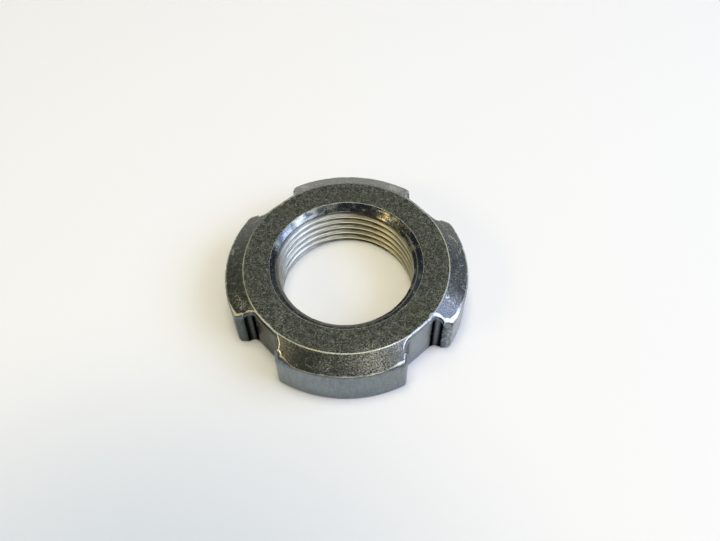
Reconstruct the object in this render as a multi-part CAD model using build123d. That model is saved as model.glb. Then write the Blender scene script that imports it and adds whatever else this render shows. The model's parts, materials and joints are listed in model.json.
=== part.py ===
"""Slotted round lock nut with four wide lugs and a fine-threaded hole.

All sizes are in millimetres. The axis of the hole is Z. The origin is in the
middle of the bottom face, on which the nut lies. With four slots, two lugs
stand along X and two along Y, and a spanner slot lies between each two.
"""
import os
from math import cos, hypot, radians, sin, tan

from build123d import *

# Thread. The hole is left smooth, at the thread's smallest diameter.
thread_major_d = 24.0
thread_pitch = 1.5
hole_d = thread_major_d - 1.0825 * thread_pitch

# Body
outer_d = 40.6
height = 9.3

# Spanner slots: a flat floor, and walls that open outwards from it. At each root a
# round relief runs on from the floor and bites into the wall.
slot_count = 4
slot_depth = 2.9
slot_floor_width = 5.4
slot_flare_angle = 45.0
root_relief_radius = 1.25
lug_corner_radius = 0.9

# Bevel round the top. It starts on the flat face, just inside the slot floors.
bevel_inset = 0.35
bevel_angle = 30.0

# Eased edges along the whole outline: rounded at the top, bevelled at the foot
top_edge_radius = 0.5
bottom_edge_bevel = 0.3

# Countersinks: the wide one at the top, a small one at the bottom
top_sink_width = 1.5
top_sink_depth = 1.2
bottom_sink_width = 0.25
bottom_sink_depth = 0.25

outer_r = outer_d / 2
hole_r = hole_d / 2
floor_r = outer_r - slot_depth
bevel_r = floor_r - bevel_inset
first_slot_angle = 180 / slot_count


def from_axis(place):
    return hypot(place.X, place.Y)


# The outline seen from above: a disc with the slots cut out of its rim. In the slot's
# own frame, X runs outwards along its middle.
flare = radians(slot_flare_angle)
past_rim = outer_r + 1.0
half_floor = slot_floor_width / 2
half_mouth = half_floor + (past_rim - floor_r) * tan(flare)
relief_chord = 2 * root_relief_radius * cos(flare)
root = Vector(floor_r, half_floor)
relief_end = root + Vector(cos(flare), sin(flare)) * relief_chord
mouth = Vector(past_rim, half_mouth)
half_slot = (
    Line((floor_r, 0), root)
    + TangentArc(root, relief_end, tangent=(0, 1))
    + Line(relief_end, mouth)
    + Line(mouth, (past_rim, 0))
)
slot = make_face(half_slot + mirror(half_slot, Plane.XZ))
slot_places = PolarLocations(0, slot_count, start_angle=first_slot_angle)
outline = Circle(outer_r) - slot_places * slot
on_rim = outer_r - slot_depth / 4
lug_corners = [v for v in outline.vertices() if from_axis(v) > on_rim]
outline = fillet(lug_corners, lug_corner_radius)

# The turned form: half of its section, swept once round the axis
past_rim_z = height - (past_rim - bevel_r) * tan(radians(bevel_angle))
half_section = make_face(
    Polyline(
        (hole_r, bottom_sink_depth),
        (hole_r + bottom_sink_width, 0),
        (past_rim, 0),
        (past_rim, past_rim_z),
        (bevel_r, height),
        (hole_r + top_sink_width, height),
        (hole_r, height - top_sink_depth),
        close=True,
    )
)
turned = revolve(Plane.XZ * half_section, Axis.Z)
nut = extrude(outline, height) & turned


def outline_edges(solid, at_top):
    """The edges that end the upright walls of the lugs and slots."""
    faces = solid.faces().filter_by(lambda f: abs(f.normal_at().Z) < 0.01)
    faces = faces.filter_by(lambda f: from_axis(f.center()) > bevel_r)
    edges = ShapeList(faces.edges())
    if at_top:
        return edges.filter_by(lambda e: e.bounding_box().min.Z > height / 2)
    return edges.filter_by(lambda e: e.bounding_box().max.Z < 0.001)


nut = fillet(outline_edges(nut, at_top=True), top_edge_radius)
nut = chamfer(outline_edges(nut, at_top=False), bottom_edge_bevel)

lock_nut = nut.solid()
lock_nut.label = "lock_nut"
os.makedirs("parts", exist_ok=True)
export_step(lock_nut, "parts/lock_nut.step")
box = lock_nut.bounding_box()
print("lock_nut", "valid" if lock_nut.is_valid else "not valid")
print("volume", round(lock_nut.volume, 1), "mm3, faces", len(lock_nut.faces()))
print("box", [round(v, 3) for v in (*box.min, *box.max)])
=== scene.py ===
# %% [markdown]
# A slotted round lock nut. On a machine it is screwed onto a shaft against a bearing
# and tightened with a hook spanner, whose nose drops into one of the four slots.
# The nut in the picture is used: the blackened skin is grainy, every edge is rubbed
# bright, and the thread still shines. The solid model gives its size and place, and
# this script gives it its thread, its wear and its finish.

# %% Load the solid model
import json
import random
from math import atan2, ceil, cos, degrees, hypot, pi, radians, sin, sqrt, tan

import bmesh
import bpy
import numpy as np
from mathutils import Matrix, Vector

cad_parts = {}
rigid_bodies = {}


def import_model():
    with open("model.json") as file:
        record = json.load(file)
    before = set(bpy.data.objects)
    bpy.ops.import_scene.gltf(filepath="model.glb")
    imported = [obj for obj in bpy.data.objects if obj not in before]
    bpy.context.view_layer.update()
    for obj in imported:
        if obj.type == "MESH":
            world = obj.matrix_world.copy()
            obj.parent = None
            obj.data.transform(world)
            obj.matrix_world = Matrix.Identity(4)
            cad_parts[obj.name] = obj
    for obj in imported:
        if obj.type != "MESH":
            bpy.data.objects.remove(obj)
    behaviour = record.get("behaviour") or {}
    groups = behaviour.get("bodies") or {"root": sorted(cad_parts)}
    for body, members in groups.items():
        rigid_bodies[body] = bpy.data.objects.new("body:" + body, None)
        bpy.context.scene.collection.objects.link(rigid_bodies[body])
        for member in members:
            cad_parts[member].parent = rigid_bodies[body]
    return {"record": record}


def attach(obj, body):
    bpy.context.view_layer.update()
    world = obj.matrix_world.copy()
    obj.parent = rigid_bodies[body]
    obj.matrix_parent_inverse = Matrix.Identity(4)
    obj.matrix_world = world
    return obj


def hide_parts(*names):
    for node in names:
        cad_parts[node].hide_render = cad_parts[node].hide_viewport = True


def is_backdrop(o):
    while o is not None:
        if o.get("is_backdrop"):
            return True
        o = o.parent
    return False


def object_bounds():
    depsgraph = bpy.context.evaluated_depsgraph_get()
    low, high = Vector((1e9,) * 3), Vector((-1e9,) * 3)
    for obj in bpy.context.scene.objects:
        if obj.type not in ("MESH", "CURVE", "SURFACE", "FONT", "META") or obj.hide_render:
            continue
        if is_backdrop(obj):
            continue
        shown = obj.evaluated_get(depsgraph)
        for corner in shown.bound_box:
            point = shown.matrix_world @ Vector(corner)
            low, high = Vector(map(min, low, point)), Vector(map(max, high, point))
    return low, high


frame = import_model()
cad_low, cad_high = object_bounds()
print("solid model, mm:", [round((end - start) * 1000, 2) for start, end in zip(cad_low, cad_high)])

# %% [markdown]
# Sizes come first. The box of the solid model gives the nut's radius and height, and its
# record gives the radius of the hole. The others are the nut's own drawing sizes, and
# each is named in the cell that first needs it. They could be measured off the solid's
# mesh, but named values are easier to read, and every row of points is worked out from
# them.

# %% Main sizes, in metres
MM = 0.001
thread_record = next(mount for mount in frame["record"]["mounts"] if mount["name"] == "thread")
hole_r = thread_record["dims"]["r_mm"] * MM
outer_r = cad_high.x
height = cad_high.z
slot_count = 4
lug_middle = pi / slot_count
print("radius", round(outer_r / MM, 2), "mm, hole radius", round(hole_r / MM, 3), "mm")

# %% [markdown]
# The outline seen from above repeats eight times: from the middle of a slot to the middle
# of a lug, then the same mirrored. Half of a slot is a flat floor, a round relief that
# runs on from it and bites into the wall, a short flared wall, a rounded lug corner and
# the arc of the rim. A curve object could hold it, but the next steps also need the
# outward direction at every point, to round the edges. So the outline is walked in small
# steps, and each step keeps its place, its direction, how round its top edge is, and how
# much shade is painted on its wall there: none on the rim, and most in the reliefs.

# %% Straight and round stretches of the outline
column_step = 0.15 * MM


def edge_and_relief_shade(count, edge_radius, relief_shade):
    """How round the top edge is on a stretch, and its painted shade from one end to the other."""
    share = np.arange(count) / count
    stops = np.linspace(0, 1, len(relief_shade))
    return np.full(count, edge_radius * MM), np.interp(share, stops, relief_shade)


def straight(start, end, direction, edge_radius, relief_shade):
    count = max(2, ceil(hypot(end[0] - start[0], end[1] - start[1]) / column_step))
    share = np.arange(count)[:, None] / count
    places = np.array(start) + share * (np.array(end) - np.array(start))
    return places, np.tile(direction, (count, 1)), *edge_and_relief_shade(count, edge_radius, relief_shade)


def arc(centre, radius, start, end, edge_radius, relief_shade, hollow=False):
    count = max(6, ceil(abs(end - start) * radius / column_step))
    angle = start + (end - start) * np.arange(count) / count
    from_centre = np.stack([np.cos(angle), np.sin(angle)], 1)
    places = np.array(centre) + radius * from_centre
    direction = -from_centre if hollow else from_centre
    return places, direction, *edge_and_relief_shade(count, edge_radius, relief_shade)


print("one column every", column_step / MM, "mm")

# %% Sizes of a slot
slot_depth = 2.9 * MM
slot_floor_width = 5.4 * MM
slot_flare = radians(45)
root_relief_radius = 1.25 * MM
relief_lip_radius = 0.2 * MM
lug_corner_radius = 0.9 * MM
floor_r = outer_r - slot_depth
slot_root = np.array([floor_r, slot_floor_width / 2])
up_wall = np.array([cos(slot_flare), sin(slot_flare)])
wall_out = np.array([sin(slot_flare), -cos(slot_flare)])
print("slot floor at", round(floor_r / MM, 2), "mm from the axis")

# %% Centres of the relief, of its lip and of the lug corner
relief = slot_root + (root_relief_radius, 0)
touching = root_relief_radius + relief_lip_radius
below_wall = relief_lip_radius + root_relief_radius * sin(slot_flare)
lip_run = root_relief_radius * cos(slot_flare) + sqrt(touching**2 - below_wall**2)
lip = slot_root + lip_run * up_wall - relief_lip_radius * wall_out
inside_wall = slot_root - lug_corner_radius * wall_out
corner_reach = outer_r - lug_corner_radius
root_run = inside_wall @ up_wall
corner_run = -root_run + sqrt(root_run**2 - inside_wall @ inside_wall + corner_reach**2)
corner = inside_wall + corner_run * up_wall
print("lug corner at", (corner / MM).round(2), "mm")

# %% Half a slot and half a lug
relief_end = atan2(lip[1] - relief[1], lip[0] - relief[0])
wall_bearing = slot_flare - pi / 2
corner_end = atan2(corner[1], corner[0])
wall_start = lip + relief_lip_radius * wall_out
wall_end = corner + lug_corner_radius * wall_out
# The last numbers of each stretch are its painted shade from one end to the other. The reliefs mirror
# only the nut's own dark walls, so they get the most.
stretches = [
    straight((floor_r, 0), slot_root, (1, 0), 0.5, (0, 0, 0, 0, 0, 0.15, 0.8)),
    arc(relief, root_relief_radius, pi, relief_end, 0.5, (1, 0.9, 0.3, 0.95, 1), hollow=True),
    arc(lip, relief_lip_radius, relief_end - pi, wall_bearing, 0.25, (1, 0.7)),
    straight(wall_start, wall_end, wall_out, 0.5, (0.7, 0.15)),
    arc(corner, lug_corner_radius, wall_bearing, corner_end, 0.55, (0.1, 0)),
    arc((0, 0), outer_r, corner_end, lug_middle, 0.30, (0, 0)),
]
half_points, half_outward, half_edge, half_relief_shade = map(np.concatenate, zip(*stretches))
print("half a slot and half a lug:", len(half_points), "columns")


# %% One slot with its half lugs, then all the way round
def turned(places, angle):
    cosine, sine = cos(angle), sin(angle)
    return places @ np.array([[cosine, sine], [-sine, cosine]])


def mirrored_back(places, mirror_angle):
    cosine, sine = cos(2 * mirror_angle), sin(2 * mirror_angle)
    return places[::-1] @ np.array([[cosine, sine], [sine, -cosine]])


rim_middle = np.array([[cos(lug_middle), sin(lug_middle)]])
other_points = mirrored_back(half_points[1:], lug_middle)
other_outward = mirrored_back(half_outward[1:], lug_middle)
one_points = np.concatenate([half_points, outer_r * rim_middle, other_points])
one_outward = np.concatenate([half_outward, rim_middle, other_outward])
one_edge = np.concatenate([half_edge, half_edge[-1:], half_edge[:0:-1]])
one_relief_shade = np.concatenate([half_relief_shade, half_relief_shade[-1:], half_relief_shade[:0:-1]])
turns = [lug_middle + 2 * lug_middle * number for number in range(slot_count)]
plan = np.concatenate([turned(one_points, angle) for angle in turns])
outward = np.concatenate([turned(one_outward, angle) for angle in turns])
edge_radius = np.tile(one_edge, slot_count)
relief_shade = np.tile(one_relief_shade, slot_count)
for _ in range(3):
    edge_radius = (np.roll(edge_radius, 1) + edge_radius + np.roll(edge_radius, -1)) / 3
columns = len(plan)
print("outline:", columns, "columns")

# %% [markdown]
# Edges of a nut that has been used aren't even. A spanner has knocked small nicks into
# them, and the left corner of the near lug is flattened where the nose slipped. A nick
# could be cut with a boolean, but a rounded edge is already made of rings of points, so
# it is enough to let the rounding grow for a short stretch. Small nicks are drawn by
# lot with a fixed seed, and the large ones are listed one by one, as angles round the nut.

# %% Small nicks along the top edge
chance = random.Random(24)
small_nick_count = 90
deepest_small_nick = 0.14
step_vectors = np.roll(plan, -1, axis=0) - plan
step_lengths = np.hypot(step_vectors[:, 0], step_vectors[:, 1])
along_edge = np.concatenate([[0], np.cumsum(step_lengths)[:-1]])
edge_length = step_lengths.sum()


def nick_shape(middle, half_width, depth):
    away = np.abs(along_edge - middle)
    away = np.minimum(away, edge_length - away)
    return depth * np.clip(1 - (away / half_width) ** 2, 0, 1) ** 2


nicks = np.zeros(columns)
for _ in range(small_nick_count):
    middle = chance.uniform(0, edge_length)
    half_width = chance.uniform(0.2, 0.9) * MM
    depth = chance.uniform(0.03, deepest_small_nick) * MM
    nicks = np.maximum(nicks, nick_shape(middle, half_width, depth))
scuffed = nicks / (deepest_small_nick * MM)
print("small nicks reach", round(100 * (nicks > 0).mean()), "% of the edge")

# %% Large nicks: angle in degrees, half width and depth in millimetres
large_nicks = [
    (-118.8, 2.9, 1.45),
    (-62.5, 4.2, 0.60),
    (-150.5, 3.4, 0.40),
    (-34.0, 1.3, 0.55),
    (-30.5, 1.6, 0.60),
    (-27.5, 0.8, 0.35),
    (-119.0, 0.6, 0.18),
]
column_angle = np.degrees(np.arctan2(plan[:, 1], plan[:, 0]))
for angle, half_width, depth in large_nicks:
    middle = along_edge[np.argmin(np.abs(column_angle - angle))]
    nicks = np.maximum(nicks, nick_shape(middle, half_width * MM, depth * MM))
print("deepest nick, mm:", round(nicks.max() / MM, 2))

# %% [markdown]
# The body is one sheet of rings, from the foot of the hole along the bottom face to the
# wall, up the wall, over the rounded edge, up the bevel, across the flat face and down
# into the countersink. A subdivided cylinder with booleans gives the same form, but
# rings keep the grid even, so the edge stays smooth and each ring knows how far it is
# from the edge. That distance is kept with every point, and the materials use it for the
# wear. Seen from the axis, the outline turns back in the reliefs. So the columns are
# spread more evenly towards the hole, or faces there would fold over each other.

# %% Height of the top at any radius
bevel_angle = radians(30)
bevel_inset = 0.35 * MM
top_sink_width = 1.5 * MM
top_sink_depth = 1.2 * MM
bevel_r = floor_r - bevel_inset
mouth_r = hole_r + top_sink_width
sink_slope = top_sink_depth / top_sink_width
bevel_softness = 0.12 * MM
mouth_softness = 0.10 * MM


def soft_step(distance, softness):
    """Nearly zero before the bend and the distance itself after it."""
    return (distance + np.sqrt(distance**2 + softness**2)) / 2


def top_height(radius):
    drop = tan(bevel_angle) * soft_step(radius - bevel_r, bevel_softness)
    return height - drop - sink_slope * soft_step(mouth_r - radius, mouth_softness)


print("bevel starts at", round(bevel_r / MM, 2), "mm, its rim is", end=" ")
print(round(top_height(outer_r) / MM, 2), "mm high")

# %% Rings, the finish each one has and its distance from the edge
WALL, SKIN, SINK, THREAD = range(4)
rings = []
ring_zones = []
edge_gaps = []


def add_ring(places, z, zone, edge_gap):
    rings.append(np.column_stack([places, np.broadcast_to(z, columns)]))
    ring_zones.append(zone)
    edge_gaps.append(np.broadcast_to(edge_gap, columns))


def inset_by(distance):
    return plan - outward * np.broadcast_to(distance, columns)[:, None]


def towards(places, evened):
    """Directions from the axis to these places, never turning back, partly spaced evenly."""
    bearing = np.arctan2(places[:, 1], places[:, 0])
    bearing = np.maximum.accumulate(np.unwrap(bearing))
    even = bearing[0] + 2 * pi * np.arange(columns) / columns
    bearing = bearing + evened * (even - bearing)
    return np.stack([np.cos(bearing), np.sin(bearing)], 1)


print("finishes by number:", WALL, SKIN, SINK, THREAD)

# %% Shape of the rounded top edge
edge_r = edge_radius + nicks
top_outside = top_height(np.hypot(*inset_by(0.5 * edge_r).T))
top_inside = top_height(np.hypot(*inset_by(1.5 * edge_r).T))
slope = (top_outside - top_inside) / -edge_r
edge_top = top_height(np.hypot(*inset_by(edge_r).T)) - slope * edge_r
edge_centre_z = edge_top + edge_r * (slope - np.sqrt(1 + slope**2))
arc_end = pi / 2 + np.arctan(slope)
arc_length = edge_r * (pi - arc_end)
print("edge is rounded by", (edge_r.min() / MM).round(2), "to", (edge_r.max() / MM).round(2), "mm")

# %% Rings of the bottom, the wall and the rounded edge
most_evened = 0.4
bottom_edge_rows = 6
wall_rows = 12
edge_rows = 10
wall_part_of_edge = 0.75
beside_mouth = 0.06 * MM
bottom_edge_radius = 0.3 * MM
bottom_sink_width = 0.25 * MM
bottom_sink_depth = 0.25 * MM
bottom_mouth_r = hole_r + bottom_sink_width
bottom_inner = towards(plan, most_evened) * (bottom_mouth_r + beside_mouth)
bottom_outer = inset_by(bottom_edge_radius)
far_below_edge = -(edge_centre_z - bottom_edge_radius) - arc_length
for share in (0, 0.35, 0.7):
    add_ring(bottom_inner + share * (bottom_outer - bottom_inner), 0, WALL, -height)
for angle in np.linspace(pi / 2, 0, bottom_edge_rows):
    inset = bottom_edge_radius * (1 - cos(angle))
    add_ring(inset_by(inset), bottom_edge_radius * (1 - sin(angle)), WALL, far_below_edge)
for share in np.linspace(0, 1, wall_rows)[1:-1]:
    z = bottom_edge_radius + share * (edge_centre_z - bottom_edge_radius)
    add_ring(inset_by(0), z, WALL, z - edge_centre_z - arc_length)
for share in np.linspace(0, 1, edge_rows):
    angle = pi + share * (arc_end - pi)
    inset = edge_r * (1 + np.cos(angle))
    z = edge_centre_z + edge_r * np.sin(angle)
    zone = WALL if share < wall_part_of_edge else SKIN
    add_ring(inset_by(inset), z, zone, (share - 1) * arc_length)
print("bottom, wall and edge:", len(rings), "rings")

# %% Where the rings of the top lie
bevel_rows = 11
flat_rows = 10
before_mouth = 0.25 * MM
arc_points = rings[-1][:, :2]
arc_r = np.hypot(*arc_points.T)
bend_rows = (0.3, 0.18, 0.09, 0.03, -0.03, -0.09, -0.18, -0.3)
bend_radii = [bevel_r + row * MM for row in bend_rows]
flat_radii = np.linspace(bend_radii[-1], mouth_r + before_mouth, flat_rows)[1:]
mouth_rows = (0.15, 0.08, 0.03, -0.02, -0.07, -0.14, -0.25, -0.4, -0.53)
mouth_radii = [mouth_r + row * MM for row in mouth_rows]
up_bevel = np.linspace(0, 1, bevel_rows)[1:-1]
wanted = [arc_r + share * (bend_radii[0] - arc_r) for share in up_bevel]
wanted += [np.full(columns, radius) for radius in (*bend_radii, *flat_radii, *mouth_radii)]
print("top:", len(wanted), "rings")

# %% Rings of the bevel, the flat face and the countersink
narrowest_gap = 0.012 * MM
misfit_reach = 0.4 * MM
skin_ends_r = mouth_r - 0.01 * MM
z_misfit = rings[-1][:, 2] - top_height(arc_r)
last_r = arc_r
for number, ring_r in enumerate(wanted, start=1):
    ring_r = np.minimum(ring_r, last_r - narrowest_gap)
    around = towards(arc_points, most_evened * (number / len(wanted)) ** 2)
    fade = np.exp(-(arc_r - ring_r) / misfit_reach)
    z = top_height(ring_r) + z_misfit * fade
    zone = SKIN if ring_r.mean() > skin_ends_r else SINK
    add_ring(around * ring_r[:, None], z, zone, arc_r - ring_r)
    last_r = ring_r
print("body:", len(rings), "rings of", columns)

# %% [markdown]
# The thread is a ridge that climbs one pitch each turn. A screw modifier could make it,
# but then the countersinks would have to be cut with booleans. Instead the wall of the
# hole is a grid whose rows climb with the thread, so each row always lies on the same
# part of the ridge: crest, flank or root. The radius of a point is that of the thread
# or of a countersink, whichever is larger. Rows that would leave the nut stop at its
# faces, so a column near the seam has a row more or less, and a strip between two
# columns is closed like a zip.

# %% Sizes of the thread
thread_pitch = 1.5 * MM
depth_per_pitch = 0.5413
flank_angle = radians(30)
thread_depth = depth_per_pitch * thread_pitch
crest_half = thread_pitch / 8
flank_run = thread_depth * tan(flank_angle)
thread_softness = 0.07 * MM
crest_at_angle_zero = 0.7125 * MM
bore_columns = 288
bore_top_r = mouth_r - 0.56 * MM
bore_top = top_height(bore_top_r)
bore_low = 0.0
row_phases = [-0.46, -0.42, -0.33, -0.24, -0.18, -0.145, -0.115, -0.085, -0.04]
row_phases += [0, 0.04, 0.085, 0.115, 0.145, 0.18, 0.24, 0.33, 0.42, 0.46, 0.5]
rows_per_turn = len(row_phases)
print("thread is", round(thread_depth / MM, 2), "mm deep,", rows_per_turn, "rows a turn")


# %% Radius of the wall of the hole
def thread_radius(from_crest):
    depth = soft_step(from_crest - crest_half, thread_softness)
    depth = depth - soft_step(from_crest - crest_half - flank_run, thread_softness)
    return hole_r + depth * thread_depth / flank_run


def wall_radius(z, phase):
    from_crest = abs(phase) * thread_pitch
    upper = hole_r + (z - height + top_sink_depth) / sink_slope
    lower = hole_r + bottom_sink_width * (1 - z / bottom_sink_depth)
    return max(thread_radius(from_crest), upper, lower)


print("groove radius, mm:", round(wall_radius(height / 2, 0.5) / MM, 3))


# %% One column of the hole
clear_of_faces = 0.03 * MM
turns_below = 2


def bore_column(index):
    """The column's points from the bottom up, each with the number of its row."""
    angle = 2 * pi * index / bore_columns
    climb = crest_at_angle_zero + thread_pitch * index / bore_columns
    found = []
    for turn in range(-turns_below, ceil(height / thread_pitch) + 1):
        for row, phase in enumerate(row_phases):
            z = climb + (turn + phase) * thread_pitch
            if bore_low + clear_of_faces < z < bore_top - clear_of_faces:
                found.append((turn * rows_per_turn + row, z, wall_radius(z, phase)))
    ends = []
    for z in (bore_low, bore_top):
        phase = ((z - climb) / thread_pitch + 0.5) % 1 - 0.5
        ends.append((None, z, wall_radius(z, phase)))
    chain = [ends[0], *found, ends[1]]
    return [(row, (radius * cos(angle), radius * sin(angle), z)) for row, z, radius in chain]


print("first column:", len(bore_column(0)), "points")


# %% A strip between two columns
def zip_strip(left, right, shift=0):
    """Triangles and quads between two neighbouring columns of (row, vertex)."""
    strip = []
    at_left = at_right = 0
    while at_left < len(left) - 1 or at_right < len(right) - 1:
        more_left = at_left < len(left) - 1
        more_right = at_right < len(right) - 1
        next_left = left[at_left + 1][0] if more_left else None
        next_right = right[at_right + 1][0] if more_right else None
        if next_right is not None:
            next_right += shift
        here = (left[at_left][1], right[at_right][1])
        if more_left and more_right and next_left == next_right:
            strip.append((*here, right[at_right + 1][1], left[at_left + 1][1]))
            at_left += 1
            at_right += 1
        elif not more_right or (
            more_left and next_left is not None
            and (next_right is None or next_left < next_right)
        ):
            strip.append((*here, left[at_left + 1][1]))
            at_left += 1
        else:
            strip.append((*here, right[at_right + 1][1]))
            at_right += 1
    return strip


print("strips to zip:", bore_columns)

# %% [markdown]
# Now the pieces of the sheet are put together as one closed mesh. Body rings have many
# columns, crowded at the slot walls, and the hole has fewer, evenly spaced. The two
# could be merged by distance, but nothing lines up there. So where they meet, at the top
# and at the bottom of the hole, a band of triangles joins the two rings, always
# stepping along the ring that is behind.

# %% Faces of the body
points = [tuple(place) for ring in rings for place in ring]
gaps = [gap for ring in edge_gaps for gap in ring]
faces = []
zones = []
for row in range(len(rings) - 1):
    for column in range(columns):
        following = (column + 1) % columns
        low, up = row * columns, (row + 1) * columns
        faces.append((low + column, low + following, up + following, up + column))
        zones.append(ring_zones[row + 1])
print("body:", len(faces), "faces")

# %% Faces of the hole
on_cone = 0.02 * MM
bore = []
for index in range(bore_columns):
    chain = []
    for row_number, point in bore_column(index):
        chain.append((row_number, len(points)))
        points.append(point)
        gaps.append(1.0)
    bore.append(chain)
for index in range(bore_columns):
    wraps = index == bore_columns - 1
    strip = zip_strip(bore[index], bore[(index + 1) % bore_columns], rows_per_turn * -wraps)
    for face in strip:
        face_z = sum(points[vertex][2] for vertex in face) / len(face)
        face_r = sum(hypot(*points[vertex][:2]) for vertex in face) / len(face)
        cone_r = hole_r + (face_z - height + top_sink_depth) / sink_slope
        faces.append(face)
        zones.append(SINK if face_r - cone_r < on_cone else THREAD)
print("thread:", zones.count(THREAD), "faces")


# %% Join the body and the hole
def angle_of(vertex):
    return atan2(points[vertex][1], points[vertex][0]) % (2 * pi)


def join_rings(first, second, zone):
    first = sorted(first, key=angle_of)
    second = sorted(second, key=angle_of)
    at_first = at_second = 0
    while at_first < len(first) or at_second < len(second):
        here = (first[at_first % len(first)], second[at_second % len(second)])
        after_first = first[(at_first + 1) % len(first)]
        after_second = second[(at_second + 1) % len(second)]
        turn_first = angle_of(after_first) + 2 * pi * (at_first + 1 >= len(first))
        turn_second = angle_of(after_second) + 2 * pi * (at_second + 1 >= len(second))
        first_is_behind = at_first < len(first) and turn_first <= turn_second
        if at_second >= len(second) or first_is_behind:
            faces.append((*here, after_first))
            at_first += 1
        else:
            faces.append((*here, after_second))
            at_second += 1
        zones.append(zone)


top_ring = range((len(rings) - 1) * columns, len(rings) * columns)
join_rings(range(columns), [chain[0][1] for chain in bore], WALL)
join_rings(top_ring, [chain[-1][1] for chain in bore], SINK)
triangles = sum(len(face) - 2 for face in faces)
print("mesh:", len(points), "points,", triangles, "triangles")

# %% [markdown]
# The lists become a mesh, and the mesh an object. The faces of the body and those of the
# hole were listed in the same turn, but the hole is seen from its inside, so the two
# don't agree on which side is out. Here all normals are turned outwards at once, which
# is surer than keeping count by hand. Every face is smooth-shaded, because the edges
# are rounded by real rows of faces and need no sharp line.

# %% Make the object
nut_mesh = bpy.data.meshes.new("nut_body")
nut_mesh.from_pydata(points, [], faces)
nut_mesh.update()
nut = bpy.data.objects.new("nut_body", nut_mesh)
bpy.context.scene.collection.objects.link(nut)
turned_out = bmesh.new()
turned_out.from_mesh(nut_mesh)
bmesh.ops.recalc_face_normals(turned_out, faces=turned_out.faces)
open_edges = sum(not edge.is_manifold for edge in turned_out.edges)
turned_out.to_mesh(nut_mesh)
turned_out.free()
nut_mesh.polygons.foreach_set("use_smooth", [True] * len(nut_mesh.polygons))
nut_mesh.polygons.foreach_set("material_index", zones)
print("open edges:", open_edges)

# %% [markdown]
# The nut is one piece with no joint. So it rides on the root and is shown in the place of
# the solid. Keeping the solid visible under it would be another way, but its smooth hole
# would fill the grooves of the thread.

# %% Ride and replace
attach(nut, "root")
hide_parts("lock_nut")
print(nut.name, "stands for the solid lock_nut")

# %% [markdown]
# Wear and light aren't the same all round. The near right slot and the right lug have been
# hammered bright and carry the strongest painted highlights, the far side is nearly
# untouched, and light falls on the left edges warm and on the right edges cold, which is
# painted too. A painted mask would need an image. Here a list of marks does it: each one is
# an angle round the nut, a half width in degrees and an amount, and every point takes the
# strongest mark that reaches it. The result is stored with the points under a name, and the
# materials read it by that name.


# %% Marks round the nut
def marked(angles, marks):
    total = np.zeros(len(angles))
    for angle, half_width, amount in marks:
        away = np.abs((angles - angle + 180) % 360 - 180) / half_width
        total = np.maximum(total, amount * np.exp(-(away**2)))
    return total


def paint(name, values):
    attribute = nut_mesh.attributes.new(name, "FLOAT", "POINT")
    attribute.data.foreach_set("value", values)


def paint_columns(name, values, in_hole=0.0):
    """One value for each column of the body, and the same value all over the hole."""
    paint(name, [*np.tile(values, len(rings)), *[in_hole] * bore_points])


bore_points = len(points) - len(rings) * columns
flat_points = np.array(points)[:, :2] / MM
point_angle = np.degrees(np.arctan2(flat_points[:, 1], flat_points[:, 0]))
paint("edge_gap", np.array(gaps) / MM)
print("points of the hole:", bore_points, "of", len(points))

# %% Edges rubbed bright, with painted highlights
edge_marks = [
    (-150, 9, 0.65), (-135, 10, 0.60), (-123, 5, 0.72), (-105, 6, 0.2), (-87, 6, 0.5),
    (-75, 4, 0.7), (-63, 5, 1.0), (-48, 13, 1.0), (-29, 9, 1.0), (0, 24, 0.45),
    (45, 14, 0.4), (90, 26, 0.3), (135, 14, 0.35), (180, 26, 0.3),
]
bevel_marks = [
    (-94, 26, 1.0), (-66, 14, 1.0), (-45, 14, 0.9), (-10, 26, 0.8),
    (-135, 20, 0.9), (180, 24, 0.4), (22, 30, 0.7), (135, 18, 0.25),
]
mouth_marks = [(95, 85, 1.0), (-75, 110, 0.5)]
# How bright the rubbed steel is round the nut, which is partly a painted highlight
edge_shine = np.minimum(marked(column_angle, edge_marks) + 0.25 * scuffed, 1)
paint_columns("edge_shine", edge_shine)
paint_columns("bevel_shine", marked(column_angle, bevel_marks))
paint("mouth_shine", marked(point_angle, mouth_marks))
print("brightest edge at", column_angle[np.argmax(edge_shine)].round(), "degrees")

# %% Painted warm and cool light, brown stretches and painted window light
# Painted light on the bare edges: warm where these marks reach, cool elsewhere
warm_light_marks = [
    (-110, 22, 1.0), (-150, 25, 0.9), (180, 40, 0.6), (-80, 10, 0.7), (95, 55, 0.9), (15, 16, 0.7),
]
brown_marks = [(-135, 13, 1.0), (-114, 9, 0.35), (-154, 8, 0.6)]
# Painted reflection of the cool window light, on the right side
window_light_marks = [(-45, 13, 1.0), (-24, 9, 1.0), (0, 22, 1.0), (45, 14, 0.4)]
light_warmth = marked(column_angle, warm_light_marks)
paint_columns("light_warmth", light_warmth, in_hole=0.5)
paint_columns("brown", marked(column_angle, brown_marks))
paint_columns("window_light", marked(column_angle, window_light_marks))
print("warm on", round(100 * (light_warmth > 0.5).mean()), "% of the edge")

# %% [markdown]
# More marks say where the nut was struck and where shade is painted. The end of the right
# lug took most blows. Painted shade darkens every relief, since a relief mirrors only the
# nut's own dark walls, but less at both ends of the near lug and more at the corner across
# the slot on the left. More painted shade darkens stretches of the bevel and takes their
# gloss. The shade in the reliefs could be noise alone, but then it would also lie on the
# open faces.

# %% Blows, and painted shade in the reliefs and on the bevel
battered_marks = [(-30, 7, 1.0), (-22, 5, 0.8), (-62, 3, 0.4), (-149, 6, 0.45)]
lighter_shade_marks = [(-57.5, 5, 0.8), (-122.5, 5, 0.8)]
deeper_shade_marks = [(-150.5, 3.5, 0.5)]
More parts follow.
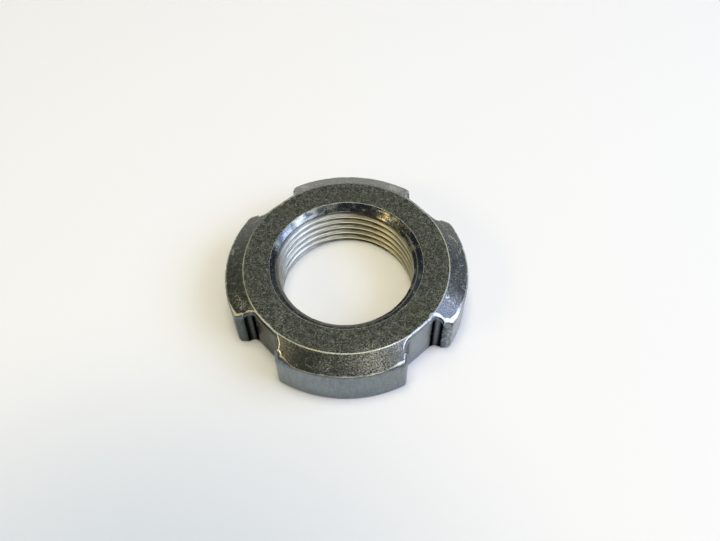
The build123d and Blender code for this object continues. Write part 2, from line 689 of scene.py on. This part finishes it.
# Painted shade on stretches of the bevel: a darker colour and less gloss
bevel_shade_marks = [(180, 34, 0.85), (-150, 16, 0.9), (-108, 14, 0.85), (0, 12, 0.4), (90, 24, 0.3)]
# Painted shade: less at both ends of the near lug, more at the corner across the left slot
relief_shade = relief_shade * (1 - marked(column_angle, lighter_shade_marks))
relief_shade = np.maximum(relief_shade, marked(column_angle, deeper_shade_marks))
paint_columns("battered", marked(column_angle, battered_marks))
paint_columns("relief_shade", relief_shade)
paint_columns("bevel_shade", marked(column_angle, bevel_shade_marks))
print("soot on", round(100 * (relief_shade > 0.5).mean()), "% of the walls")

# %% [markdown]
# The top was also rubbed in spots that don't follow any edge, where other things slid
# over it, and there the painted glints are more and brighter. They could be painted with
# a brush, but a script can't repeat a hand. So each spot has a place of its own, and
# fades out all round it.

# %% Rubbed spots on the top: angle in degrees, radius and size in millimetres, amount
rubbed_spots = [
    (-74, 18.4, 3.2, 1.0), (-84, 18.2, 2.0, 0.6), (-22, 18.7, 2.6, 0.8), (-60, 17.3, 1.6, 0.7),
    (-5, 19.2, 3.0, 0.4), (20, 19.4, 3.0, 0.3), (-97, 18.6, 1.2, 0.5), (-152, 18.4, 0.9, 0.9),
    (66, 18.8, 1.7, 1.0), (116, 18.8, 1.4, 1.0), (-131, 14.5, 2.4, 0.35), (35, 15.5, 2.5, 0.3),
]
rubbed = np.zeros(len(points))
for angle, radius, size, amount in rubbed_spots:
    middle = radius * np.array([cos(radians(angle)), sin(radians(angle))])
    away = np.hypot(*(flat_points - middle).T) / size
    rubbed = np.maximum(rubbed, amount * np.exp(-(away**2)))
paint("rubbed", rubbed)
print("rubbed spots:", len(rubbed_spots))

# %% [markdown]
# All finishes are mixed from the same few nodes: noise, a smooth step from one value to
# another, a mix of two colours. Wiring each by hand would bury the recipe, so a small
# class does it. Each input is either a value or another node's output. Noise is asked
# for by the size of its grains in millimetres, since that can be read off a ruler.


# %% Short calls that add nodes
class Recipe:
    """The nodes of one material, or of the room."""

    def __init__(self, tree):
        self.tree = tree

    def feed(self, socket, value):
        if isinstance(value, bpy.types.NodeSocket):
            self.tree.links.new(value, socket)
        else:
            socket.default_value = value

    def add(self, kind, sockets, **settings):
        made = self.tree.nodes.new(kind)
        for name, value in settings.items():
            setattr(made, name, value)
        for key, value in sockets.items():
            self.feed(made.inputs[key], value)
        return made

    def calc(self, operation, *values):
        return self.add("ShaderNodeMath", dict(enumerate(values)), operation=operation).outputs[0]

    def times(self, first, second):
        return self.calc("MULTIPLY", first, second)

    def plus(self, first, second):
        return self.calc("ADD", first, second)

    def less(self, first, second):
        return self.calc("SUBTRACT", first, second)

    def away_from(self, value, middle):
        return self.calc("ABSOLUTE", self.less(value, middle))

    def step(self, value, low, high, to_low=0.0, to_high=1.0):
        sockets = {"Value": value, "From Min": low, "From Max": high}
        sockets |= {"To Min": to_low, "To Max": to_high}
        kind = "ShaderNodeMapRange"
        return self.add(kind, sockets, interpolation_type="SMOOTHSTEP").outputs[0]

    def fall(self, value, low, high):
        return self.step(value, low, high, to_low=1.0, to_high=0.0)

    def mixed(self, share, first, second):
        sockets = {0: share, 6: first, 7: second}
        return self.add("ShaderNodeMix", sockets, data_type="RGBA").outputs[2]

    def stretched(self, place, factors):
        sockets = {0: place, 1: factors}
        return self.add("ShaderNodeVectorMath", sockets, operation="MULTIPLY").outputs[0]

    def grains(self, place, size, detail=2.0, ragged=0.55, twist=0.0):
        sockets = {"Vector": place, "Scale": 1 / size, "Detail": detail}
        sockets |= {"Roughness": ragged, "Distortion": twist}
        return self.add("ShaderNodeTexNoise", sockets).outputs[0]

    def painted(self, name):
        return self.add("ShaderNodeAttribute", {}, attribute_name=name).outputs["Fac"]


print("short calls:", [name for name in vars(Recipe) if name[0] != "_"])


# %% A finish with its place on the nut
class Finish(Recipe):
    """A new material, with its place on the nut in millimetres, flat and wound round."""

    def __init__(self, name):
        self.material = bpy.data.materials.new(name)
        self.material.use_nodes = True
        super().__init__(self.material.node_tree)
        self.shader = self.tree.nodes["Principled BSDF"]
        scaled = {0: self.add("ShaderNodeTexCoord", {}).outputs["Object"], "Scale": 1 / MM}
        self.place = self.add("ShaderNodeVectorMath", scaled, operation="SCALE").outputs[0]
        x, y, self.up = self.add("ShaderNodeSeparateXYZ", {0: self.place}).outputs
        self.radius = self.calc("SQRT", self.plus(self.times(x, x), self.times(y, y)))
        self.turn = self.calc("ARCTAN2", y, x)

    def wound(self, round_scale, out_scale, up_scale):
        """Coordinates that run round, outwards and up, each with its own stretch."""
        sockets = {
            0: self.times(self.turn, round_scale),
            1: self.times(self.radius, out_scale),
            2: self.times(self.up, up_scale),
        }
        return self.add("ShaderNodeCombineXYZ", sockets).outputs[0]

    def roughen(self, bumps, depth, over=None):
        """Bumps this deep in millimetres, on top of other ones if given."""
        sockets = {"Height": bumps, "Distance": depth * MM, "Strength": 1.0}
        if over is not None:
            sockets["Normal"] = over
        return self.add("ShaderNodeBump", sockets).outputs[0]

    def cover(self, **sockets):
        for name, value in sockets.items():
            self.feed(self.shader.inputs[name.replace("_", " ")], value)
        print(self.material.name, "has", len(self.tree.nodes), "nodes")


def bright(grey, tint=(1.0, 1.0, 1.0)):
    return (grey * tint[0], grey * tint[1], grey * tint[2], 1.0)


print("half grey, a little warm:", bright(0.5, (1.1, 1.0, 0.9)))

# %% [markdown]
# The skin of the top and of the bevel is the blackened surface of the forging: almost
# black with a touch of olive, and rough like fine sandpaper, so every grain catches a
# little light. Two flat colours would look like paint. So the grain is noise in two
# sizes between a dark and a light tone, and faint brown patches lie over it.

# %% Grain of the skin
skin_dark = bright(0.017, (0.94, 1.05, 0.78))
skin_light = bright(0.210, (0.95, 1.04, 0.79))
stain_brown = bright(0.040, (1.20, 1.0, 0.55))

skin = Finish("blackened_skin")
fine = skin.grains(skin.place, 0.22, detail=3.0, ragged=0.75)
coarse = skin.grains(skin.place, 0.85)
patch = skin.grains(skin.place, 3.2)
grain = skin.plus(skin.times(fine, 0.80), skin.times(coarse, 0.20))
colour = skin.mixed(skin.step(grain, 0.435, 0.69), skin_dark, skin_light)
colour = skin.mixed(skin.step(patch, 0.50, 0.75, 0.0, 0.35), colour, stain_brown)
print("skin is", round(skin_light[1] / skin_dark[1]), "times lighter on a high grain")

# %% [markdown]
# The bevel isn't the same all round. On the right a painted blue cast stands for the cool
# window light it mirrors there, at the near left it is stained like old gilt along the
# edge, and at the left and the back painted shade darkens it. A material for each would
# meet the next one at a hard line. So each is a colour laid over the grain, where its
# painted mark says so. The flat face has none of them, so they stop where the bevel starts.

# %% Painted window light, gilt and painted shade on the bevel
skin_window_light = bright(0.058, (0.62, 1.0, 1.50))
stain_gold = bright(0.045, (1.25, 1.0, 0.45))

window_light = skin.painted("window_light")
on_bevel = skin.step(skin.radius, bevel_r / MM, bevel_r / MM + 0.5)
# Painted reflection of the cool window light on the right of the bevel
colour = skin.mixed(skin.times(skin.times(window_light, on_bevel), 0.6), colour, skin_window_light)
near_edge = skin.fall(skin.painted("edge_gap"), 0.1, 1.1)
gilt = skin.times(skin.times(near_edge, skin.painted("brown")), on_bevel)
colour = skin.mixed(skin.times(gilt, skin.step(coarse, 0.40, 0.60)), colour, stain_gold)
# Painted shade: the bevel is darker and less glossy where these marks say
bevel_shaded = skin.times(skin.times(skin.painted("bevel_shade"), on_bevel), 0.9)
colour = skin.mixed(bevel_shaded, colour, skin_dark)
print("bevel stains:", skin_window_light[:3], stain_gold[:3])

# %% [markdown]
# Three kinds of bright marks lie on the skin. Painted glints sit on single high grains, and
# there are more and brighter ones where the skin was rubbed. Long scratches run slantwise:
# they are noise that is stretched along a turned direction. On the bevel, and most on its
# right side where the window light is painted, thin curls of bare steel show, where chips
# were dragged over it: a curl is the line on which a noise crosses its middle value, and a
# second noise breaks it up. Real grooves would need far more faces.

# %% Painted glints, scratches and curls
skin_glint_and_scratch = bright(0.18, (1.0, 1.0, 0.84))
rubbed_glint = bright(0.42, (1.02, 1.0, 0.86))
scratch_angle = radians(28)

rub = skin.painted("rubbed")
# Painted glints on single high grains, more and brighter on the rubbed spots
glint_level = skin.plus(skin.grains(skin.place, 0.20), skin.times(rub, 0.17))
glints = skin.times(skin.step(glint_level, 0.60, 0.72), 0.75)
colour = skin.mixed(glints, colour, skin.mixed(rub, skin_glint_and_scratch, rubbed_glint))
slanted = {"Vector": skin.place, "Angle": scratch_angle}
slanted = skin.add("ShaderNodeVectorRotate", slanted, rotation_type="Z_AXIS").outputs[0]
drawn_out = skin.stretched(slanted, (0.30, 4.5, 1.0))
scratches = skin.step(skin.grains(drawn_out, 1.0, detail=1.0), 0.67, 0.73)
colour = skin.mixed(skin.times(scratches, 0.6), colour, skin_glint_and_scratch)
bend = skin.grains(skin.place, 1.9, detail=1.0, ragged=0.5, twist=0.6)
curls = skin.fall(skin.away_from(bend, 0.5), 0.004, 0.012)
broken = skin.step(skin.grains(skin.place, 1.1, detail=1.0), 0.50, 0.60)
curls = skin.times(skin.times(curls, broken), on_bevel)
curls = skin.times(curls, skin.plus(0.25, skin.times(window_light, 0.6)))
print("scratches run at", round(degrees(scratch_angle)), "degrees")

# %% [markdown]
# Where edges were rubbed the steel shows: along the outline, where the bevel meets the
# flat face, and round the mouth of the hole. The bright line isn't even, since only the
# high grains were reached, so it breaks up into dots at its sides. It is also a painted
# highlight: how bright it is round the nut follows where light catches the edges, and its
# tint is painted warm or cool light. Blender's Pointiness finds edges by itself, but it
# would rub all of them alike. So the steel is let through where the distance to the line,
# the painted mark and the grain agree.

# %% Bare steel along the edges
steel_in_cool_light = bright(0.84, (0.93, 0.99, 1.02))
steel_in_warm_light = bright(0.92, (1.04, 1.0, 0.60))

edge_away = skin.calc("ABSOLUTE", skin.painted("edge_gap"))
edge_reach = skin.step(skin.painted("battered"), 0.0, 1.0, 0.20, 0.95)
edge_near = skin.fall(skin.calc("DIVIDE", edge_away, edge_reach), 0.15, 1.0)
bevel_near = skin.fall(skin.away_from(skin.radius, bevel_r / MM), 0.02, 0.19)
mouth_near = skin.fall(skin.away_from(skin.radius, mouth_r / MM), 0.03, 0.17)
uneven = skin.times(skin.less(grain, 0.5), 1.8)
lines = {"edge_shine": edge_near, "bevel_shine": bevel_near, "mouth_shine": mouth_near}
reached = curls
for shine, near in lines.items():
    dots = skin.step(skin.plus(near, uneven), 0.50, 0.78)
    dots = skin.times(dots, skin.step(near, 0.0, 0.3))
    reached = skin.calc("MAXIMUM", reached, skin.times(dots, skin.painted(shine)))
# The bare steel takes a painted tint of warm or cool light
steel = skin.mixed(skin.painted("light_warmth"), steel_in_cool_light, steel_in_warm_light)
skin.cover(
    Base_Color=skin.mixed(reached, colour, steel),
    Metallic=skin.times(reached, skin.step(mouth_near, 0.0, 1.0, 0.5, 0.3)),
    Roughness=skin.step(coarse, 0.3, 0.7, 0.20, 0.29),
    IOR=1.80,
    Specular_Tint=skin.mixed(bevel_shaded, bright(1.0), bright(0.3)),
    Normal=skin.roughen(grain, 0.009),
)

# %% [markdown]
# The upright walls were sawn or milled and then blackened with the rest. They are
# smoother than the top, a little blue, and they mirror the paper they stand on, so they
# look lighter than the top though they are as dark. A plain dark metal would look cast.
# So faint streaks run up and down it, as noise that is wound round the nut and long
# upwards, and finer grains break the streaks up.

# %% Tone of the walls
wall_dark = bright(0.160, (0.84, 1.0, 1.08))
wall_light = bright(0.240, (0.84, 1.0, 1.08))
wall_window_light = bright(0.300, (0.88, 1.0, 1.10))

wall = Finish("blackened_wall")
fine = wall.grains(wall.place, 0.30, detail=3.0, ragged=0.65)
mottle = wall.grains(wall.place, 0.8, detail=3.0, ragged=0.6)
streaks = wall.grains(wall.wound(38.0, 1.0, 0.35), 1.0)
tone = wall.plus(wall.times(mottle, 0.2), wall.times(streaks, 0.3))
tone = wall.plus(tone, wall.times(fine, 0.5))
wall_colour = wall.mixed(wall.step(tone, 0.40, 0.60), wall_dark, wall_light)
print("wall tones:", wall_dark[1], "to", wall_light[1])

# %% [markdown]
# The floor of the near left slot is darker and browner, painted shade fills the reliefs
# below the edge, and a few specks of rust show. The brown and the painted shade also take
# the shine away, so they darken the mirror colour of the metal and not only its own
# colour.

# %% Brown, painted shade and rust on the walls
wall_brown = bright(0.032, (1.12, 1.0, 0.66))
wall_relief_shade = bright(0.012, (0.85, 0.95, 1.25))
wall_rust = bright(0.10, (1.6, 1.0, 0.45))

on_floor = wall.fall(wall.radius, 18.4, 19.3)
brown_here = wall.times(wall.painted("brown"), on_floor)
wall_colour = wall.mixed(wall.times(brown_here, 0.95), wall_colour, wall_brown)
# Painted reflection: the right walls are lighter and bluer, where the window light falls
wall_colour = wall.mixed(wall.times(wall.painted("window_light"), 0.6), wall_colour, wall_window_light)
# Painted shade fills the reliefs below the edge and dims their reflection too
deep_down = wall.fall(wall.painted("edge_gap"), -1.3, -0.5)
relief_shade_here = wall.times(wall.painted("relief_shade"), deep_down)
wall_colour = wall.mixed(wall.times(relief_shade_here, 0.98), wall_colour, wall_relief_shade)
darkened = wall.calc("MAXIMUM", relief_shade_here, wall.times(brown_here, 0.3))
rust_spots = wall.step(wall.grains(wall.place, 0.9), 0.70, 0.78, 0.0, 0.8)
wall_colour = wall.mixed(rust_spots, wall_colour, wall_rust)
print("dirt colours:", wall_brown[:3], wall_relief_shade[:3], wall_rust[:3])

# %% [markdown]
# The end of the right lug took the blows of the spanner. Dark bruises and pale scrapes
# lie side by side there, from one noise: its high values are bruises and its low values
# scrapes. Two noises would let them overlap. The relief behind was out of reach, so they
# start past it. The top edge of all walls is rubbed bright like that of the skin, and
# wider where it was battered.

# %% Bruises, scrapes and the rubbed edge of the walls
wall_bruise = bright(0.035, (0.80, 0.95, 1.25))
wall_scraped = bright(0.62, (0.92, 1.0, 1.06))

blows = wall.grains(wall.place, 0.42, detail=3.0, ragged=0.75)
battered = wall.painted("battered")
past_relief = wall.step(wall.radius, 18.7, 19.3)
struck = wall.times(past_relief, wall.step(battered, 0.0, 0.6))
bruised = wall.times(struck, wall.step(blows, 0.46, 0.70))
wall_colour = wall.mixed(wall.times(bruised, 0.6), wall_colour, wall_bruise)
scraped = wall.times(past_relief, wall.step(battered, 0.5, 0.9))
scraped = wall.times(scraped, wall.fall(blows, 0.34, 0.54))
wall_colour = wall.mixed(wall.times(scraped, 0.5), wall_colour, wall_scraped)
edge_reach = wall.step(battered, 0.0, 1.0, -0.22, -0.9)
edge_near = wall.step(wall.painted("edge_gap"), edge_reach, 0.0)
edge_bare = wall.times(edge_near, wall.painted("edge_shine"))
uneven = wall.times(wall.less(fine, 0.5), 1.8)
reached = wall.times(wall.step(wall.plus(edge_bare, uneven), 0.55, 0.85), 0.8)
# The bare steel takes a painted tint of warm or cool light
steel = wall.mixed(wall.painted("light_warmth"), steel_in_cool_light, steel_in_warm_light)
wall.cover(
    Base_Color=wall.mixed(reached, wall_colour, steel),
    Metallic=1.0,
    Specular_Tint=wall.mixed(darkened, bright(1.0), bright(0.25)),
    Roughness=wall.step(mottle, 0.3, 0.7, 0.18, 0.28),
    Normal=wall.roughen(wall.plus(fine, streaks), 0.006),
)

# %% [markdown]
# The countersink was turned before the nut was blackened. It is smooth and nearly black
# with a blue cast, and it mirrors the room. Worn patches let the steel through, some of
# them gold, and on the far right painted gold glints of the warm lamp gather, while the
# far left side is pale with painted glare. A picture laid on the cone would fix these in
# place, but noise that is wound round the axis follows the turning marks by itself, and
# painted marks say where the gold glints and the pale glare lie.

# %% Patches of the countersink
sink_dark = bright(0.07, (0.80, 0.98, 1.22))
sink_worn = bright(0.34, (0.98, 1.0, 0.96))
sink_gold_wear_and_glint = bright(0.48, (1.06, 1.0, 0.60))
sink_pale = bright(0.42, (1.02, 1.02, 0.75))
# Painted gold glints of the warm lamp, and painted glare, by angle round the hole
gleam_marks = [(60, 8, 0.9), (42, 11, 0.7), (18, 7, 0.55)]
glare_marks = [(132, 16, 0.9), (105, 6, 0.5), (163, 7, 0.4)]
paint("gleam", marked(point_angle, gleam_marks))
paint("glare", marked(point_angle, glare_marks))

sink = Finish("turned_countersink")
cloud = sink.grains(sink.wound(12.0, 1.4, 1.4), 1.6, detail=3.0, ragged=0.6)
fine = sink.grains(sink.place, 0.25, detail=3.0, ragged=0.65)
speckled = sink.plus(sink.times(cloud, 0.6), sink.times(fine, 0.4))
gold_wear_and_glint = sink.plus(speckled, sink.times(sink.painted("gleam"), 0.22))
glare = sink.times(sink.painted("glare"), sink.step(speckled, 0.38, 0.56))
sink_colour = sink.mixed(sink.step(speckled, 0.50, 0.64), sink_dark, sink_worn)
sink_colour = sink.mixed(sink.step(gold_wear_and_glint, 0.58, 0.72), sink_colour, sink_gold_wear_and_glint)
sink_colour = sink.mixed(glare, sink_colour, sink_pale)
print("gold patches at", [angle for angle, half_width, amount in gleam_marks], "degrees")

# %% [markdown]
# The turning tool left fine rings on the cone, and one light line a little above the
# thread, clearest on the near side. Cutting grooves into the mesh would cost many rows
# of faces for marks that thin. The fine rings are bumps from a noise that is long round
# the nut and short up the cone, and the line is steel that shows at one radius.

# %% Rings of the turning tool
ring_past_thread = 0.62
ring_marks = [(-75, 90, 1.0), (20, 20, 0.6)]
paint("tool_ring", marked(point_angle, ring_marks))

tool_rings = sink.grains(sink.wound(0.9, 9.0, 9.0), 1.0)
ring_line = sink.away_from(sink.radius, hole_r / MM + ring_past_thread)
ring_line = sink.fall(ring_line, 0.03, 0.15)
ring_line = sink.times(ring_line, sink.painted("tool_ring"))
sink.cover(
    Base_Color=sink.mixed(sink.times(ring_line, 0.8), sink_colour, sink_pale),
    Metallic=sink.step(ring_line, 0.0, 1.0, 1.0, 0.3),
    Roughness=sink.step(fine, 0.3, 0.7, 0.20, 0.32),
    Normal=sink.roughen(tool_rings, 0.006, sink.roughen(fine, 0.008)),
)

# %% [markdown]
# The thread is cut bare. Its crests are polished by the shaft, and its grooves hold old
# oil and are grey. In the picture it goes from pale gold on the right, a painted warm
# light, to silver on the left, where painted glare evens it out and the grooves are
# lighter. A painted highlight brightens the crests at the back, and painted shade darkens
# the grooves at two stretches. Two materials could be blended at a seam, but one is enough:
# the distance from the axis says how deep a point lies in the groove, and its angle says
# how silvery it is.

# %% How deep in the groove, and how dirty
thread = Finish("cut_thread")
groove_depth = thread.less(thread.radius, hole_r / MM)
groove_depth = thread.calc("DIVIDE", groove_depth, thread_depth / MM)
run_marks = thread.grains(thread.wound(7.0, 6.0, 6.0), 1.0)
tool_lines = thread.grains(thread.wound(1.6, 16.0, 16.0), 1.0)
dirt = thread.plus(groove_depth, thread.less(run_marks, 0.5))
dirt = thread.plus(dirt, thread.less(tool_lines, 0.5))
print("thread starts with", len(thread.tree.nodes), "nodes")

# %% Painted warm light and silver of the thread
crest_warm_lit = bright(0.66, (1.07, 1.0, 0.68))
crest_silver = bright(0.57, (1.04, 1.04, 0.84))
groove_warm_lit = bright(0.25, (1.12, 1.0, 0.66))
groove_silver = bright(0.24, (1.04, 1.0, 0.88))

silvery = thread.step(thread.turn, radians(65), radians(125))
near_side = thread.fall(thread.turn, radians(-50), radians(-10))
silvery = thread.calc("MAXIMUM", silvery, near_side)
# Painted warm light on the right of the thread, silver on the left and near side
crest = thread.mixed(silvery, crest_warm_lit, crest_silver)
groove = thread.mixed(silvery, groove_warm_lit, groove_silver)
print("crests:", crest_warm_lit[:3], "to", crest_silver[:3])

# %% Painted highlight, painted shade and painted glare on the thread
crest_highlighted = bright(0.96, (1.03, 1.0, 0.84))
groove_shaded = bright(0.10, (1.10, 1.0, 0.74))
crest_in_glare = bright(0.50, (1.02, 1.02, 0.84))
groove_in_glare = bright(0.38, (1.02, 1.02, 0.84))
crest_highlight_marks = [(103, 13, 1.0)]
groove_shade_marks = [(68, 22, 1.0), (168, 14, 1.0)]
paint("crest_highlight", marked(point_angle, crest_highlight_marks))
paint("groove_shade", marked(point_angle, groove_shade_marks))

fine = thread.grains(thread.place, 0.22)
# Painted glare on the left evens out crests and grooves
glare_sheet = thread.painted("glare")
# Painted highlight on the crests at the back
crest = thread.mixed(thread.painted("crest_highlight"), crest, crest_highlighted)
crest = thread.mixed(glare_sheet, crest, crest_in_glare)
# Painted shade on the grooves at two stretches
groove = thread.mixed(thread.painted("groove_shade"), groove, groove_shaded)
groove = thread.mixed(glare_sheet, groove, groove_in_glare)
thread.cover(
    Base_Color=thread.mixed(thread.step(dirt, 0.10, 0.62), crest, groove),
    Metallic=1.0,
    Roughness=thread.step(dirt, 0.1, 0.8, 0.36, 0.58),
    Normal=thread.roughen(run_marks, 0.004, thread.roughen(fine, 0.002)),
)

# %% [markdown]
# Every face of the nut already has the number of its finish, since it was listed with
# it. Faces could also be picked by hand and assigned. Here it is enough to give the mesh
# its materials in the order of those numbers.

# %% Give the finishes to the nut
for finish in (wall, skin, sink, thread):
    nut_mesh.materials.append(finish.material)
print("finishes:", [material.name for material in nut_mesh.materials])

# %% [markdown]
# The nut lies on a sheet of paper so large that its edges are never seen from above. The
# paper is almost white with a faint grain, and it cools and darkens a little towards the
# lower left, where the lamps reach it least. A weaker lamp there would change the nut as
# well, so that fall is put into the paper's colour: it grows towards one dim corner.

# %% Paper
paper_half = 0.45
paper_white = bright(0.940)
paper_cool = bright(0.73, (0.93, 1.0, 1.08))
dim_corner = (-19.0, -57.0, 0.0)
narrowed = (0.75, 1.0, 1.0)
corners = [(-1, -1), (1, -1), (1, 1), (-1, 1)]

floor_mesh = bpy.data.meshes.new("paper")
floor_corners = [(x * paper_half, y * paper_half, 0) for x, y in corners]
floor_mesh.from_pydata(floor_corners, [], [(0, 1, 2, 3)])
floor = bpy.data.objects.new("paper", floor_mesh)
bpy.context.scene.collection.objects.link(floor)
paper = Finish("paper")
weave = paper.grains(paper.place, 0.5, detail=3.0, ragged=0.6)
from_corner = {0: paper.stretched(paper.place, narrowed), 1: dim_corner}
far_off = paper.add("ShaderNodeVectorMath", from_corner, operation="DISTANCE").outputs["Value"]
shade = paper.fall(far_off, 5.0, 56.0)
shade = paper.plus(shade, paper.times(paper.less(weave, 0.5), 0.06))
paper.cover(
    Base_Color=paper.mixed(shade, paper_white, paper_cool),
    Roughness=1.0,
    Specular_IOR_Level=0.0,
    Normal=paper.roughen(weave, 0.004),
)
floor_mesh.materials.append(paper.material)
floor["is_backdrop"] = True

# %% [markdown]
# The light is soft and comes mostly from above: a lamp overhead, a weaker one on the
# ceiling to the right, cool daylight from a window on the right, and a little warm light
# from the near left. Point lamps would draw hard shadows, so each is a rectangle that
# glows. It is easier to say how much of white it makes the paper than how many watts it
# has, so a helper turns that share into power. The shares add up to 0.86, and the room
# gives the rest. The overhead lamp isn't mirrored by the metal: seen from straight
# above, the whole flat face would flare.


# %% Lamps
def softbox(name, azimuth, elevation, distance, width, tall, colour, share):
    """An area lamp that alone would light the floor to this share of white."""
    azimuth = radians(azimuth)
    elevation = radians(elevation)
    across = cos(elevation)
    away = Vector((cos(azimuth) * across, sin(azimuth) * across, sin(elevation)))
    data = bpy.data.lights.new(name, "AREA")
    data.shape = "RECTANGLE"
    data.size = width
    data.size_y = tall
    data.color = colour
    radiance = share * pi * distance**2 / (width * tall * sin(elevation))
    data.energy = radiance * width * tall * pi
    lamp = bpy.data.objects.new(name, data)
    lamp.location = away * distance
    lamp.rotation_mode = "QUATERNION"
    lamp.rotation_quaternion = (-away).to_track_quat("-Z", "Y")
    bpy.context.scene.collection.objects.link(lamp)
    print(name, "gives", share, "of white")
    return lamp


daylight = (0.76, 0.93, 1.50)
ceiling_white = (1.04, 1.02, 0.96)
overhead_cream = (1.10, 1.03, 0.78)
warm_white = (1.3, 1.05, 0.6)
softbox(
    "window", azimuth=-6, elevation=39, distance=0.8, width=0.58, tall=0.45,
    colour=daylight, share=0.24,
)
softbox(
    "ceiling_lamp", azimuth=-20, elevation=65, distance=0.6, width=0.34, tall=0.34,
    colour=ceiling_white, share=0.14,
)
overhead = softbox(
    "overhead_lamp", azimuth=165, elevation=88, distance=0.6, width=0.20, tall=0.20,
    colour=overhead_cream, share=0.43,
)
overhead.visible_glossy = False
softbox(
    "warm_lamp", azimuth=213, elevation=38, distance=0.5, width=0.12, tall=0.10,
    colour=warm_white, share=0.05,
)

# %% [markdown]
# The metal mirrors the room, so the room matters more for its look than the lamps do. A
# photograph of a real room would show details that nobody knows here. Instead the
# background is a plain one: dark grey above, which keeps the blackened steel dark, and
# pale in a low band all round, which is also what is seen behind the paper's edge.

# %% Room
pale_up_to = radians(3)
dark_from = radians(17)
room_dark = (0.18, 0.18, 0.166, 1)
room_pale = (0.80, 0.81, 0.80, 1)

world = bpy.data.worlds.new("room")
world.use_nodes = True
bpy.context.scene.world = world
room = Recipe(world.node_tree)
seen_way = room.add("ShaderNodeTexCoord", {}).outputs["Generated"]
way_up = room.add("ShaderNodeSeparateXYZ", {0: seen_way}).outputs[2]
low_band = room.fall(way_up, sin(pale_up_to), sin(dark_from))
room_colour = room.mixed(low_band, room_dark, room_pale)
room.feed(world.node_tree.nodes["Background"].inputs["Color"], room_colour)
print("room: pale up to", round(degrees(pale_up_to)), "degrees, dark from", round(degrees(dark_from)))

# %% [markdown]
# The camera stands where the picture was taken from. It could be placed by eye, but the
# outline, the rim of the hole and the foot of the nut fix it quite exactly: how high it
# looks down, how far off it is, how long its lens is and how it leans. The aim is a
# point on the paper, given from the middle of the nut to the right and away.

# %% Camera
camera_azimuth = radians(4.787)
camera_elevation = radians(57.313)
camera_distance = 132.5 * MM
camera_roll = radians(-0.812)
aim_right = 2.37 * MM
aim_away = 4.57 * MM
focal_length_px = 755.1
picture_width_px = 720

camera_turn = Matrix.Rotation(camera_azimuth, 3, "Z")
back_and_up = Vector((0, -cos(camera_elevation), sin(camera_elevation)))
stand = camera_turn @ back_and_up * camera_distance
aim = camera_turn @ Vector((aim_right, aim_away, 0))
ahead = (aim - stand).normalized()
level_right = ahead.cross(Vector((0, 0, 1))).normalized()
level_up = level_right.cross(ahead)
right = cos(camera_roll) * level_right + sin(camera_roll) * level_up
up = -sin(camera_roll) * level_right + cos(camera_roll) * level_up
pose = Matrix((right, up, -ahead)).transposed().to_4x4()
pose.translation = stand
print("camera stands at", [round(value / MM, 1) for value in stand], "mm")

# %% Lens and view
camera_data = bpy.data.cameras.new("camera")
camera_data.sensor_width = 36.0
camera_data.lens = focal_length_px / picture_width_px * camera_data.sensor_width
camera_data.clip_start = 0.005
camera_data.clip_end = 10
camera = bpy.data.objects.new("camera", camera_data)
camera.matrix_world = pose
bpy.context.scene.collection.objects.link(camera)
bpy.context.scene.camera = camera
bpy.context.scene.view_settings.view_transform = "Standard"
print("lens:", round(camera_data.lens, 1), "mm")

# %% [markdown]
# At the end the box of the finished nut is measured again and written next to the box of
# the solid. The two could be compared by eye, but a thread that pokes out by a tenth of
# a millimetre is easier to find in numbers.

# %% Sizes and finish
low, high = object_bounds()
print("finished nut, mm:", [round((end - start) / MM, 2) for start, end in zip(low, high)])
